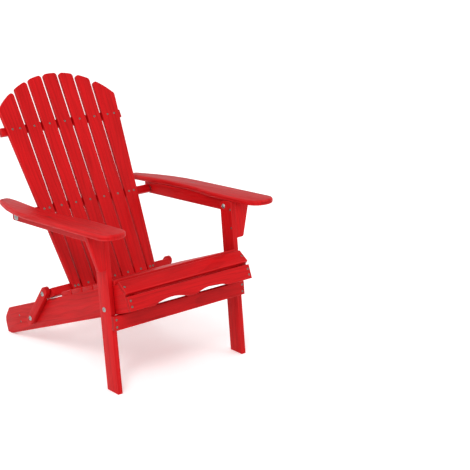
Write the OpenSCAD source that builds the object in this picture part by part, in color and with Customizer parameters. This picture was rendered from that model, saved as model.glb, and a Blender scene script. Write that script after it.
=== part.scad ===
// Folding adirondack garden chair: stained softwood boards on steel pivot bolts.
// Two sloping rails carry the seat. Front legs, arms, a fanned back and two rear
// links turn on five pairs of bolts, so the whole chair folds.
// +Z is up, the seat faces -Y and +X is the sitter's left.

/* [Overall] */
// Width over the outer faces of the two seat rails
seat_w = 519; // [430:1:623]
// Length of a seat rail along its bottom edge, from the ground corner to the front edge
rail_len = 814; // [740:1:977]
// Length of the back slats, from the foot to the middle of the top arc
back_len = 804; // [670:1:965]
// Slope of the seat rails above the ground, in degrees
rail_slope = 21.6; // [20:0.1:24]
// Lean of the back behind upright, in degrees
back_lean = 29.3; // [26:0.1:32]
// Lean of the front legs behind upright, in degrees
leg_lean = 6.2; // [4:0.1:9]

/* [Boards] */
// Thickness of legs, rails, links, arm rails and the rear stretcher
board_t = 19; // [16:0.1:22.8]
// Thickness of the seat slats, back slats, nose slat and apron
slat_t = 15; // [12.5:0.5:18]
// Thickness of the front stretcher and of the arm brackets
brace_t = 18; // [15:0.5:21.6]
// Thickness of the arm boards
arm_t = 19; // [16:0.1:22.8]
// Depth of a seat rail
rail_h = 96; // [84:1:116]
// Width of a front leg
leg_w = 62; // [58:0.1:74.4]
// Width of a rear link
link_w = 32; // [27:0.1:38.4]
// Length of a rear link beyond each of its two bolts
link_end = 29; // [20:1:34]
// Depth of an arm rail, the board on edge under the arm
arm_rail_h = 44; // [42:0.1:52.8]

/* [Seat] */
// Distance along the rail from the ground corner to the rearmost seat slat
seat_start = 425; // [415:1:440]
// Gap between two seat slats
seat_gap = 7; // [4:0.5:10]
// Gap between the last flat slat and the nose slat, along the rail
nose_gap = 13; // [8:1:20]
// Length of the bevel that carries the nose slat, measured along the rail
nose_set = 28; // [24:1:32]
// Width of the sloping nose slat
nose_w = 52; // [44:1:56]
// Angle of the nose slat below the seat plane, in degrees
nose_angle = 54; // [48:1:56]
// Height of the front apron
apron_h = 50; // [44:1:52]
// Height of the two arches in the bottom of the apron
arch_h = 13; // [10:1:22]
// Width of each arch
arch_w = 145; // [100:1:170]
// Width of the point left between the two arches
arch_point = 30; // [20:1:60]
// Height of the stretcher between the front legs
stretcher_h = 49; // [40:1:59]
// Height of the rear stretcher between the rails
rear_stretcher_h = 58; // [48:1:64]
// Distance along the rail from the ground corner to the middle of the rear stretcher
rear_stretcher_at = 90; // [80:1:120]
// Length of the flat that each rail stands on
heel_flat = 26; // [18:1:32]

/* [Back] */
// Half of the back's width at the foot of the slats
back_foot_half = 181; // [176:1:200]
// Half of the back's width at the top corners
back_top_half = 251; // [240:1:256]
// Width of an inner slat at its foot
inner_foot_w = 52; // [46:1:54]
// Width of an inner slat near its top
inner_top_w = 55.5; // [50:0.5:58]
// Gap between slats at the foot
gap_foot = 6; // [4:0.5:8]
// Gap between slats near the top
gap_top = 10.5; // [7:0.5:13]
// Radius of the arc that the slat tops follow
top_arc_r = 340; // [310:1:408]
// Rounding of the corners at the slat tops
slat_round = 11; // [4:1:13]
// Height of the lower crossbar
low_bar_h = 30; // [27:1:36]
// Depth of the lower crossbar, front to rear
low_bar_t = 50; // [46:1:58]
// Height of the upper and middle crossbars
bar_h = 30; // [27:1:32]
// Thickness of the upper and middle crossbars
bar_t = 20; // [18:0.5:24]
// Distance from the top of the back down to the bottom of the upper crossbar
upper_bar_drop = 204; // [180:1:240]
// How far the upper crossbar sticks out past the slats on each side
upper_bar_over = 18; // [0:1:22]

/* [Arms] */
// Downward slope of the arms towards the rear, in degrees
arm_pitch = 3.6; // [2.4:0.1:5]
// How far the board reaches outward past the leg at the front
arm_overhang = 83; // [67:1:99]
// Further reach of the corner that the long outer curve rounds off
arm_flare = 4; // [2:1:12]
// How far the board reaches inward past the leg's outer face at the front
arm_inset_front = 20; // [14:1:24]
// How far the board reaches inward past the leg's outer face at the rear
arm_inset_rear = 16; // [8:1:20]
// Depth of the long hollow in the board's inner edge
arm_hollow = 21; // [14:1:24]
// Width of the board at its rear end
arm_tail_w = 38; // [34:1:46]
// Length of an arm board in front of the arm bolt
arm_front = 178; // [148:1:214]
// Length of an arm board behind the back bolt
arm_rear = 112; // [100:1:130]
// Radius of the long curve at the rear of the board's outer edge
arm_curve_r = 700; // [560:10:840]
// Distance behind the arm bolt where the hollow starts
arm_hollow_at = 60; // [48:1:72]
// Length over which the hollow runs in
arm_hollow_run = 155; // [125:1:180]
// Height of the bracket under the overhanging arm
bracket_h = 132; // [110:1:158]
// Width of the bracket at its top
bracket_top_w = 66; // [56:1:78]
// Width of the bracket at its foot
bracket_foot_w = 28; // [22:1:34]

/* [Pivots] */
// Distance of the leg bolt behind the front edge of the rail, along the rail
leg_pivot_back = 108; // [98:1:130]
// Height of the leg bolt above the bottom edge of the rail
leg_pivot_up = 25; // [23:1:30]
// Distance of the leg bolt from the front edge of the leg
leg_pivot_in = 36; // [32:1:38]
// Distance from the foot of the leg up to the arm bolt
arm_pivot_up = 538; // [500:1:645]
// Distance of the link's lower bolt from the ground corner, along the rail
link_pivot_along = 204; // [194:1:214]
// Height of the link's lower bolt above the bottom edge of the rail
link_pivot_up = 43; // [36:1:50]
// Height of the link's upper bolt above the foot of the slats
back_pivot_up = 21; // [13:0.5:22]
// Distance of the link's upper bolt behind the slats
back_pivot_in = 37; // [24:0.5:40]
// Height of the arm's rear bolt above the bottom of the middle crossbar
mid_pivot_up = 12; // [10:0.5:18]
// Distance of the arm's rear bolt behind the slats
mid_pivot_in = 9; // [8:0.5:11]
// How far the arm rail's centre line passes above the rear bolt
arm_line_up = 6; // [5:0.1:8]
// Distance along the rail from its ground corner to the rear corner of the lower crossbar
back_rest_along = 320.5; // [306:0.5:326]
// Radius of the pivot bolts
bolt_r = 4; // [3:0.5:4.5]
// Radius of the domed bolt heads
head_r = 9; // [7.5:0.5:10.8]
// Side play between two boards that turn on each other
side_gap = 1.5; // [1.5:0.1:2.5]
// Running clearance of a bolt in its turning hole
bolt_play = 0.08; // [0.05:0.01:0.1]
// Radius of the enlarged hole in the arm rail round the rear bolt
drift_r = 12.2; // [11.8:0.1:13.4]
// How far the enlarged hole sits above the bolt, square to the arm rail
drift_up = 2; // [1:0.1:3]
// How far the enlarged hole sits behind the bolt, along the arm rail
drift_back = 6.5; // [5.5:0.1:7.5]

/* [Screws] */
// Radius of a countersunk screw head
screw_head_r = 4; // [3:0.5:4.5]
// Radius of a screw shank
screw_r = 2; // [1.5:0.25:2.5]
// Length of a screw
screw_len = 30; // [27:1:32]
// Length of an arm screw that bites into the arm board
arm_bite = 14; // [10:1:15]

/* [Hidden] */
$fn = 48;
stain = "firebrick";
zinc = "silver";
SEAT_SLATS = 5;
BACK_SLATS = 7;
SIDES = [1, -1];
// Clearance that keeps two boards just apart where one rests on the other
rest_gap = 0.3;
// Clearance of a screw or a fixed bolt in the piece that holds it
snug = 0.05;
washer_t = side_gap - 0.3;
washer_r = head_r + 2;
wide_washer_r = drift_r + 2;
nut_h = 6.5;
dome_h = 4.5;
bolt_depth = 40;
rail_out = seat_w / 2;
rail_in = rail_out - board_t;
rail_mid = rail_out - board_t / 2;
leg_in = rail_out + side_gap;
leg_mid = leg_in + board_t / 2;
leg_out = leg_in + board_t;
arm_rail_in = leg_out + side_gap;
arm_rail_out = arm_rail_in + board_t;
nut_side = 1.9 * bolt_r;

// Unit vectors in the side view, as [y, z]: along each board and square to it
rail_along = [-cos(rail_slope), sin(rail_slope)];
rail_square = [sin(rail_slope), cos(rail_slope)];
leg_along = [sin(leg_lean), cos(leg_lean)];
leg_square = [cos(leg_lean), -sin(leg_lean)];
back_along = [sin(back_lean), cos(back_lean)];
back_square = [cos(back_lean), -sin(back_lean)];
arm_along = [cos(arm_pitch), -sin(arm_pitch)];
arm_square = [sin(arm_pitch), cos(arm_pitch)];
nose_down = rail_along * cos(nose_angle) - rail_square * sin(nose_angle);
nose_out = rail_along * sin(nose_angle) + rail_square * cos(nose_angle);

// The rail's ground corner, found from the bolt that the leg and the rail share,
// with the front corner of the leg's foot at y = 0
leg_pivot_along = rail_len - leg_pivot_back;
leg_pivot_z = leg_pivot_along * sin(rail_slope) + leg_pivot_up * cos(rail_slope);
leg_pivot_from_foot = (leg_pivot_z + leg_pivot_in * sin(leg_lean)) / cos(leg_lean);
rail_corner_y = leg_pivot_from_foot * sin(leg_lean) + leg_pivot_in * cos(leg_lean)
    + leg_pivot_along * cos(rail_slope) - leg_pivot_up * sin(rail_slope);
function leg_0(up, back) = up * leg_along + back * leg_square;
function rail_0(along, up) = [rail_corner_y, 0] + along * rail_along + up * rail_square;

// The back stands with the lower crossbar's rear corner on the rails
back_foot_0 = rail_0(back_rest_along, rail_h + rest_gap) - (slat_t + low_bar_t) * back_square;
function back_0(up, back) = back_foot_0 + up * back_along + back * back_square;

// The arm bolt clears the bracket, and the rear bolt lies under the arm rail's centre line
arm_under = arm_rail_h / 2;
arm_pivot_in = brace_t + arm_under + 4;
arm_bolt_0 = leg_0(arm_pivot_up, arm_pivot_in);
mid_pivot_from_foot = ((arm_bolt_0 - back_0(0, slat_t + mid_pivot_in)) * arm_square - arm_line_up)
    / (back_along * arm_square);
mid_bar_at = mid_pivot_from_foot - mid_pivot_up;
upper_bar_at = back_len - upper_bar_drop;

// The whole chair is centred over the origin
front_y = (arm_bolt_0 - arm_front * arm_along + arm_under * arm_square)[0];
rear_y = back_0(back_len, slat_t)[0];
centre = [-(front_y + rear_y) / 2, 0];
function on_leg(up, back) = centre + leg_0(up, back);
function on_rail(along, up) = centre + rail_0(along, up);
function on_back(up, back) = centre + back_0(up, back);
function on_arm(along, up) = centre + arm_bolt_0 + along * arm_along + up * arm_square;
leg_bolt = on_leg(leg_pivot_from_foot, leg_pivot_in);
arm_bolt = on_leg(arm_pivot_up, arm_pivot_in);
link_bolt = on_rail(link_pivot_along, link_pivot_up);
back_bolt = on_back(back_pivot_up, slat_t + back_pivot_in);
mid_bolt = on_back(mid_pivot_from_foot, slat_t + mid_pivot_in);
mid_along = (mid_bolt - arm_bolt) * arm_along;
link_len = norm(back_bolt - link_bolt);
link_dir = (back_bolt - link_bolt) / link_len;
link_side = [-link_dir[1], link_dir[0]];
function on_link(along, up) = link_bolt + along * link_dir + up * link_side;

// Height on the leg of the arm board's underside, at a distance behind the leg's front edge
under_tilt = leg_lean - arm_pitch;
function under_arm(back) = arm_pivot_up + arm_under / cos(under_tilt)
    + (back - arm_pivot_in) * tan(under_tilt) - rest_gap;
// The front stretcher's top stops just below the rails
stretcher_top = (rail_corner_y * sin(rail_slope) - rest_gap) / cos(rail_slope - leg_lean);
bracket_foot = under_arm(0) - bracket_h;
// Rounding of the leg behind the arm bolt, inside the turning arm board
leg_ear = arm_under - 4;
leg_spare = abs(leg_w - arm_pivot_in - leg_ear);

// Seat slats fill the rail between the rearmost slat and the nose slat
nose_top = rail_len - nose_set;
seat_slat_w = (nose_top - nose_gap - seat_start - (SEAT_SLATS - 1) * seat_gap) / SEAT_SLATS;
function seat_slat_at(i) = seat_start + (i - 1) * (seat_slat_w + seat_gap);

// The fanned back: edges of slat i, counted from 1 on the sitter's right
fan_up = back_len - top_arc_r + sqrt(top_arc_r * top_arc_r - back_top_half * back_top_half);
function fan(foot, top, up) = foot + (top - foot) * up / fan_up;
function gap_at(up) = fan(gap_foot, gap_top, up);
function inner_w_at(up) = fan(inner_foot_w, inner_top_w, up);
function outer_edge(up) = fan(back_foot_half, back_top_half, up);
function inner_edge(up) = (BACK_SLATS / 2 - 1) * (inner_w_at(up) + gap_at(up)) + gap_at(up) / 2;
function middle(i, up) = (i - (BACK_SLATS + 1) / 2) * (inner_w_at(up) + gap_at(up));
function low_edge(i, up) = i == 1 ? -outer_edge(up)
    : i == BACK_SLATS ? inner_edge(up) : middle(i, up) - inner_w_at(up) / 2;
function high_edge(i, up) = i == 1 ? -inner_edge(up)
    : i == BACK_SLATS ? outer_edge(up) : middle(i, up) + inner_w_at(up) / 2;
function arc_up(x) = back_len - top_arc_r + sqrt(top_arc_r * top_arc_r - x * x);
function low_top(i) = low_edge(i, arc_up(low_edge(i, arc_up(low_edge(i, fan_up)))));
function high_top(i) = high_edge(i, arc_up(high_edge(i, arc_up(high_edge(i, fan_up)))));

// Points of an outline with each corner rounded to its own radius
function unit(v) = v / norm(v);
function turn(a) = a > 180 ? a - 360 : a < -180 ? a + 360 : a;
function half_angle(a, b, c) = acos(unit(a - b) * unit(c - b)) / 2;
function hub(a, b, c, r) = b + unit(unit(a - b) + unit(c - b)) * r / sin(half_angle(a, b, c));
function leave(a, b, c, r) = b + unit(a - b) * r / tan(half_angle(a, b, c)) - hub(a, b, c, r);
function bearing(v) = atan2(v[1], v[0]);
function corner(a, b, c, r, n) = let (
    from = bearing(leave(a, b, c, r)),
    sweep = turn(bearing(leave(c, b, a, r)) - from)
    ) [for (k = [0 : n]) hub(a, b, c, r) + r * [cos(from + sweep * k / n), sin(from + sweep * k / n)]];
function rounded(p, radii, n = 6) = let (m = len(p)) [
    for (i = [0 : m - 1]) each radii[i] == 0 ? [p[i]]
        : corner(p[(i + m - 1) % m], p[i], p[(i + 1) % m], radii[i], radii[i] > 200 ? 4 * n : n)
    ];

// A side-view outline made into a board of thickness t, from x upward
module board(x, t, points, radii) {
    translate([x, 0, 0])
        rotate([90, 0, 90])
            linear_extrude(t)
                polygon(rounded(points, radii));
}

// Local frame at a side-view point with Z along a direction and X across the chair
module facing(point, dir, x = 0) {
    translate([x, point[0], point[1]])
        rotate([atan2(-dir[0], dir[1]), 0, 0])
            children();
}

// Local frame at a side-view point with Z pointing outward on one side
module outward(point, x, side) {
    translate([side * x, point[0], point[1]])
        rotate([0, side * 90, 0])
            children();
}

// The left-hand piece, or its mirror image on the right
module hand(side) {
    if (side > 0) children();
    else mirror([1, 0, 0]) children();
}

// A bore or shank across the chair, from x0 to x1 on the left
module across(point, x0, x1, r) {
    translate([x0, point[0], point[1]])
        rotate([0, 90, 0])
            cylinder(h = x1 - x0, r = r);
}

// A countersunk screw driven down -Z from the surface; grow makes its hole
module screw(grow = 0) {
    translate([0, 0, -screw_head_r])
        cylinder(h = screw_head_r + grow, r1 = screw_r + grow, r2 = screw_head_r + grow);
    translate([0, 0, -screw_len - grow])
        cylinder(h = screw_len - screw_head_r + 2 * grow, r = screw_r + grow);
}

// A domed bolt head standing on Z = 0, with a shank reaching down to -depth
module bolt(depth) {
    ball_r = (head_r * head_r + dome_h * dome_h) / (2 * dome_h);
    intersection() {
        translate([0, 0, dome_h - ball_r]) sphere(r = ball_r);
        cylinder(h = dome_h, r = head_r);
    }
    translate([0, 0, -depth]) cylinder(h = depth + 1, r = bolt_r);
}

module washer(point, x, r) {
    difference() {
        across(point, x, x + washer_t, r);
        across(point, x - 1, x + washer_t + 1, bolt_r + snug);
    }
}

module nut(point, x) {
    translate([x, point[0], point[1]])
        rotate([0, 90, 0])
            difference() {
                cylinder(h = nut_h, r = nut_side, $fn = 6);
                translate([0, 0, -1]) cylinder(h = nut_h + 2, r = bolt_r + snug);
            }
}

// Screws of each joint; each module also makes the holes for them
module slat_screws(i, sides, grow = 0) {
    for (side = sides)
        facing(on_rail(seat_slat_at(i) + seat_slat_w / 2, rail_h + slat_t), rail_square, side * rail_mid)
            screw(grow);
}

module nose_screws(sides, grow = 0) {
    for (side = sides)
        facing(on_rail(nose_top, rail_h) + nose_w / 2 * nose_down + slat_t * nose_out, nose_out, side * rail_mid)
            screw(grow);
}

module apron_screws(sides, grow = 0) {
    for (side = sides)
        for (share = [0.3, 0.7])
            facing(on_rail(rail_len + slat_t, share * apron_h), rail_along, side * rail_mid)
                screw(grow);
}

module rear_stretcher_screws(sides, grow = 0) {
    for (side = sides)
        for (share = [-0.2, 0.2])
            outward(on_rail(rear_stretcher_at, rail_h / 2 + share * rear_stretcher_h), rail_out, side)
                screw(grow);
}

module stretcher_screws(sides, grow = 0) {
    for (side = sides)
        for (share = [0.25, 0.75])
            facing(on_leg(stretcher_top - share * stretcher_h, -brace_t), -leg_square, side * leg_mid)
                screw(grow);
}

module bracket_screws(sides, grow = 0) {
    for (side = sides)
        for (share = [0.28, 0.78])
            outward(on_leg(bracket_foot + share * bracket_h, brace_t / 2), leg_in, side)
                rotate([180, 0, 0])
                    screw(grow);
}

module arm_screws(grow = 0) {
    for (share = [0.15, 0.5, 0.85])
        facing(on_arm(share * mid_along, arm_under + arm_bite - screw_len), -arm_square, (arm_rail_in + arm_rail_out) / 2)
            screw(grow);
}

// Heights on the back of the three rows of screws
screw_rows = [low_bar_h / 2, mid_bar_at + bar_h / 2, upper_bar_at + bar_h / 2];

module back_slat_screws(i, rows, grow = 0) {
    shares = i == 1 || i == BACK_SLATS ? [0.3, 0.7] : [0.5];
    for (up = rows)
        for (share = shares)
            facing(on_back(up, 0), -back_square, low_edge(i, up) + share * (high_edge(i, up) - low_edge(i, up)))
                screw(grow);
}

module seat_screws() {
    color(zinc) {
        for (i = [1 : SEAT_SLATS]) slat_screws(i, SIDES);
        nose_screws(SIDES);
        apron_screws(SIDES);
        rear_stretcher_screws(SIDES);
    }
}

module leg_screws() {
    color(zinc) {
        stretcher_screws(SIDES);
        bracket_screws(SIDES);
    }
}

module back_screws() {
    color(zinc)
        for (i = [1 : BACK_SLATS]) back_slat_screws(i, screw_rows);
}

module arm_screw_set(side) {
    color(zinc)
        hand(side)
            arm_screws();
}

// Seat
module rail(side) {
    heel = on_rail(-heel_flat * cos(rail_slope), heel_flat * sin(rail_slope));
    outline = [
        on_rail(0, 0),
        on_rail(rail_len, 0),
        on_rail(rail_len, rail_h - nose_set * tan(nose_angle)),
        on_rail(nose_top, rail_h),
        on_rail(24, rail_h),
        on_rail(-22, 0.65 * rail_h),
        heel
    ];
    color(stain)
        hand(side)
            difference() {
                board(rail_in, board_t, outline, [0, 0, 0, 0, 10, 42, 4]);
                across(leg_bolt, rail_in - 1, rail_out + 1, bolt_r + bolt_play);
                across(link_bolt, rail_in - 1, rail_out + 1, bolt_r + snug);
                for (i = [1 : SEAT_SLATS]) slat_screws(i, [1], snug);
                nose_screws([1], snug);
                apron_screws([1], snug);
                rear_stretcher_screws([1], snug);
            }
}

module seat_slat(i) {
    color(stain)
        difference() {
            facing(on_rail(seat_slat_at(i), rail_h), rail_square)
                translate([-rail_out, -seat_slat_w, 0])
                    cube([seat_w, seat_slat_w, slat_t]);
            slat_screws(i, SIDES, snug);
        }
}

module nose_slat() {
    color(stain)
        difference() {
            facing(on_rail(nose_top, rail_h), nose_out)
                translate([-rail_out, -nose_w, 0])
                    cube([seat_w, nose_w, slat_t]);
            nose_screws(SIDES, snug);
        }
}

module front_apron() {
    arch_r = (arch_w * arch_w / 4 + arch_h * arch_h) / (2 * arch_h);
    color(stain)
        difference() {
            facing(on_rail(rail_len, 0), rail_square)
                difference() {
                    translate([-rail_out, -slat_t, 0]) cube([seat_w, slat_t, apron_h]);
                    for (side = SIDES)
                        translate([side * (arch_point + arch_w) / 2, 1, arch_h - arch_r])
                            rotate([90, 0, 0])
                                cylinder(h = slat_t + 2, r = arch_r, $fn = 96);
                }
            apron_screws(SIDES, snug);
        }
}

module rear_stretcher() {
    color(stain)
        difference() {
            facing(on_rail(rear_stretcher_at + board_t / 2, (rail_h - rear_stretcher_h) / 2), rail_square)
                translate([-rail_in, 0, 0])
                    cube([2 * rail_in, board_t, rear_stretcher_h]);
            rear_stretcher_screws(SIDES, snug);
        }
}

// Front legs
module leg(side) {
    outline = [
        on_leg(0, 0),
        on_leg(leg_w * tan(leg_lean), leg_w),
        on_leg(arm_pivot_up - 1 - 2 * leg_spare, leg_w),
        on_leg(arm_pivot_up, arm_pivot_in + leg_ear),
        on_leg(arm_pivot_up + leg_ear, arm_pivot_in + leg_ear),
        on_leg(arm_pivot_up + leg_ear, arm_pivot_in),
        on_leg(under_arm(arm_pivot_in), arm_pivot_in),
        on_leg(under_arm(0), 0)
    ];
    color(stain)
        hand(side)
            difference() {
                board(leg_in, board_t, outline, [0, 0, 0, 0, leg_ear * 0.99, 0, 0, 0]);
                across(leg_bolt, leg_in - 1, leg_out + 1, bolt_r + snug);
                across(arm_bolt, leg_in - 1, leg_out + 1, bolt_r + snug);
                stretcher_screws([1], snug);
                bracket_screws([1], snug);
            }
}

module front_stretcher() {
    color(stain)
        difference() {
            facing(on_leg(stretcher_top, -brace_t), leg_along)
                translate([-leg_out, 0, -stretcher_h])
                    cube([2 * leg_out, brace_t, stretcher_h]);
            stretcher_screws(SIDES, snug);
        }
}

module arm_bracket(side) {
    profile = [
        [leg_out, 0],
        [leg_out + bracket_foot_w, 0],
        [leg_out + bracket_top_w, bracket_h],
        [leg_out, bracket_h]
    ];
    color(stain)
        hand(side)
            difference() {
                facing(on_leg(bracket_foot, 0), -leg_square)
                    translate([0, 0, -brace_t])
                        linear_extrude(brace_t)
                            polygon(rounded(profile, [0, 8, 0, 0]));
                bracket_screws([1], snug);
            }
}

// Arms
module arm_rail(side) {
    outline = [
        on_arm(-arm_under, -arm_under),
        on_arm(mid_along + 26, -arm_under),
        on_arm(mid_along + 26, arm_under),
        on_arm(-arm_under, arm_under)
    ];
    color(stain)
        hand(side)
            difference() {
                board(arm_rail_in, board_t, outline, [arm_under - 0.5, 8, 0, arm_under - 0.5]);
                across(arm_bolt, arm_rail_in - 1, arm_rail_out + 1, bolt_r + bolt_play);
                across(mid_bolt + drift_back * arm_along + drift_up * arm_square,
                    arm_rail_in - 1, arm_rail_out + 1, drift_r);
                arm_screws(snug);
                for (share = [0.15, 0.5, 0.85])
                    facing(on_arm(share * mid_along, arm_under + arm_bite - screw_len), -arm_square,
                        (arm_rail_in + arm_rail_out) / 2)
                        cylinder(h = arm_rail_h, r = screw_head_r + snug);
            }
}

module arm_board(side) {
    front_x = leg_out - arm_inset_front;
    rear_x = leg_out - arm_inset_rear;
    hollow_x = front_x + arm_hollow;
    front_w = arm_inset_front + arm_overhang;
    radii = [0.5 * front_w, 0.46 * front_w, arm_curve_r, 17, 17, 160, 160, 160, 160];
    profile = [
        [front_x, -arm_front],
        [leg_out + arm_overhang, -arm_front],
        [leg_out + arm_overhang + arm_flare, mid_along - 62],
        [rear_x + arm_tail_w, mid_along + arm_rear],
        [rear_x, mid_along + arm_rear],
        [rear_x, mid_along + 50],
        [hollow_x, mid_along - 100],
        [hollow_x, arm_hollow_at + arm_hollow_run],
        [front_x, arm_hollow_at]
    ];
    color(stain)
        hand(side)
            difference() {
                facing(arm_bolt, arm_square)
                    translate([0, 0, arm_under])
                        linear_extrude(arm_t)
                            polygon(rounded(profile, radii, 10));
                arm_screws(snug);
            }
}

// Back
module back_slat(i) {
    x0 = low_top(i);
    x1 = high_top(i);
    outline = [
        [low_edge(i, 0), 0],
        [high_edge(i, 0), 0],
        [x1, arc_up(x1)],
        for (share = [0.7, 0.6, 0.5, 0.4, 0.3]) [x0 + share * (x1 - x0), arc_up(x0 + share * (x1 - x0))],
        [x0, arc_up(x0)]
    ];
    color(stain)
        difference() {
            facing(on_back(0, 0), -back_square)
                translate([0, 0, -slat_t])
                    linear_extrude(slat_t)
                        polygon(rounded(outline, [0, 0, slat_round, 0, 0, 0, 0, 0, slat_round]));
            back_slat_screws(i, screw_rows, snug);
        }
}

module back_bar(half, up, height, depth, row) {
    facing(on_back(up, slat_t), back_along)
        translate([-half, 0, 0])
            cube([2 * half, depth, height]);
}

module lower_back_bar() {
    color(stain)
        difference() {
            back_bar(rail_out, 0, low_bar_h, low_bar_t);
            for (i = [1 : BACK_SLATS]) back_slat_screws(i, [screw_rows[0]], snug);
            for (side = SIDES)
                hand(side)
                    across(back_bolt, rail_out - bolt_depth - 1, rail_out + 1, bolt_r + snug);
        }
}

module middle_back_bar() {
    color(stain)
        difference() {
            back_bar(leg_out, mid_bar_at, bar_h, bar_t);
            for (i = [1 : BACK_SLATS]) back_slat_screws(i, [screw_rows[1]], snug);
            for (side = SIDES)
                hand(side)
                    across(mid_bolt, leg_out - bolt_depth - 1, leg_out + 1, bolt_r + snug);
        }
}

module upper_back_bar() {
    color(stain)
        difference() {
            back_bar(outer_edge(upper_bar_at) + upper_bar_over, upper_bar_at, bar_h, bar_t);
            for (i = [1 : BACK_SLATS]) back_slat_screws(i, [screw_rows[2]], snug);
        }
}

// Rear links
module link(side) {
    outline = [
        on_link(-link_end, -link_w / 2),
        on_link(link_len + link_end, -link_w / 2),
        on_link(link_len + link_end, link_w / 2),
        on_link(-link_end, link_w / 2)
    ];
    end_r = link_w / 2 - 0.5;
    color(stain)
        hand(side)
            difference() {
                board(leg_in, board_t, outline, [end_r, end_r, end_r, end_r]);
                across(link_bolt, leg_in - 1, leg_out + 1, bolt_r + bolt_play);
                across(back_bolt, leg_in - 1, leg_out + 1, bolt_r + bolt_play);
            }
}

// Bolts, washers and nuts
module leg_bolts() {
    color(zinc)
        for (side = SIDES)
            outward(leg_bolt, leg_out, side)
                bolt(leg_out - rail_in + rest_gap + nut_h + 2);
}

module leg_bolt_nuts() {
    color(zinc)
        for (side = SIDES)
            hand(side) {
                nut(leg_bolt, rail_in - rest_gap - nut_h);
                washer(leg_bolt, leg_in - washer_t, washer_r);
            }
}

module arm_bolts() {
    color(zinc)
        for (side = SIDES)
            outward(arm_bolt, leg_in, side)
                rotate([180, 0, 0])
                    bolt(arm_rail_out - leg_in + rest_gap + nut_h + 2);
}

module arm_bolt_nuts() {
    color(zinc)
        for (side = SIDES)
            hand(side) {
                nut(arm_bolt, arm_rail_out + rest_gap);
                washer(arm_bolt, leg_out, washer_r);
            }
}

module link_bolts() {
    color(zinc)
        for (side = SIDES)
            outward(link_bolt, leg_out + rest_gap, side)
                bolt(leg_out + rest_gap - rail_in + nut_h + 2);
}

module link_bolt_nuts() {
    color(zinc)
        for (side = SIDES)
            hand(side) {
                nut(link_bolt, rail_in - nut_h);
                washer(link_bolt, rail_out, washer_r);
            }
}

module back_link_bolts() {
    color(zinc)
        for (side = SIDES)
            outward(back_bolt, leg_out + rest_gap, side)
                bolt(leg_out + rest_gap - rail_out + bolt_depth);
}

module back_arm_bolts() {
    color(zinc)
        for (side = SIDES)
            outward(mid_bolt, arm_rail_out + rest_gap + washer_t, side)
                bolt(arm_rail_out + rest_gap + washer_t - leg_out + bolt_depth);
}

module back_bolt_washers() {
    color(zinc)
        for (side = SIDES)
            hand(side) {
                washer(back_bolt, rail_out, washer_r);
                washer(mid_bolt, leg_out, wide_washer_r);
                washer(mid_bolt, arm_rail_out + rest_gap, wide_washer_r);
            }
}

rail(1);  // rail_left
rail(-1);  // rail_right
seat_slat(1);  // seat_slat_1
seat_slat(2);  // seat_slat_2
seat_slat(3);  // seat_slat_3
seat_slat(4);  // seat_slat_4
seat_slat(5);  // seat_slat_5
nose_slat();
front_apron();
rear_stretcher();
seat_screws();
link_bolts();
link_bolt_nuts();
leg(1);  // leg_left
leg(-1);  // leg_right
front_stretcher();
arm_bracket(1);  // arm_bracket_left
arm_bracket(-1);  // arm_bracket_right
leg_screws();
leg_bolts();
leg_bolt_nuts();
arm_bolts();
arm_bolt_nuts();
arm_board(1);  // arm_board_left
arm_rail(1);  // arm_rail_left
arm_screw_set(1);  // arm_screws_left
arm_board(-1);  // arm_board_right
arm_rail(-1);  // arm_rail_right
arm_screw_set(-1);  // arm_screws_right
link(1);  // link_left
link(-1);  // link_right
back_slat(1);  // back_slat_1
back_slat(2);  // back_slat_2
back_slat(3);  // back_slat_3
back_slat(4);  // back_slat_4
back_slat(5);  // back_slat_5
back_slat(6);  // back_slat_6
back_slat(7);  // back_slat_7
lower_back_bar();
middle_back_bar();
upper_back_bar();
back_screws();
back_link_bolts();
back_arm_bolts();
back_bolt_washers();
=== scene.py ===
import math
import random

import bmesh
import bpy
from mathutils import Matrix, Vector


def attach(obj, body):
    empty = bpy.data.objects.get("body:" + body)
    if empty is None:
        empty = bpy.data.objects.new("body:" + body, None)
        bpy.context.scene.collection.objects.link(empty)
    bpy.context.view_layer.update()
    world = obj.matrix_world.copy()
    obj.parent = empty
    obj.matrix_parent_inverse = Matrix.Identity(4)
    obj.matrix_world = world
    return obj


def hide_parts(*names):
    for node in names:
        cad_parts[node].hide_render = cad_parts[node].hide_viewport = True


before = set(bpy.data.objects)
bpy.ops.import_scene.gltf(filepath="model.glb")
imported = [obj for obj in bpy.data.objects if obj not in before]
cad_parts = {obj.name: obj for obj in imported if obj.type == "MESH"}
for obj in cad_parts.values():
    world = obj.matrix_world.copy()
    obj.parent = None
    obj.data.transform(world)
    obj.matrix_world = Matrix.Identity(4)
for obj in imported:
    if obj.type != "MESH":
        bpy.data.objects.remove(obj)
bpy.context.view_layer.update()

MM = 0.001
SEED = 41
rng = random.Random(SEED)

# Sizes in millimetres, as in the CAD source
SEAT_W, RAIL_LEN, BACK_LEN = 519, 814, 804
RAIL_SLOPE, BACK_LEAN, LEG_LEAN, ARM_PITCH = 21.6, 29.3, 6.2, 3.6
BOARD_T, SLAT_T, BRACE_T, ARM_T = 19, 15, 18, 19
RAIL_H, LEG_W, LINK_W, LINK_END, ARM_RAIL_H = 96, 62, 32, 29, 44
SEAT_START, SEAT_GAP, NOSE_GAP, NOSE_SET, NOSE_W, NOSE_ANGLE = 425, 7, 13, 28, 52, 54
APRON_H, ARCH_H, ARCH_W, ARCH_POINT = 50, 13, 145, 30
STRETCHER_H, REAR_H, REAR_AT, HEEL = 49, 58, 90, 26
FOOT_HALF, TOP_HALF, FOOT_W, TOP_W, GAP_FOOT, GAP_TOP = 181, 251, 52, 55.5, 6, 10.5
TOP_ARC, SLAT_ROUND = 340, 11
LOW_H, LOW_T, BAR_H, BAR_T, UPPER_DROP, UPPER_OVER = 30, 50, 30, 20, 204, 18
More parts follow.
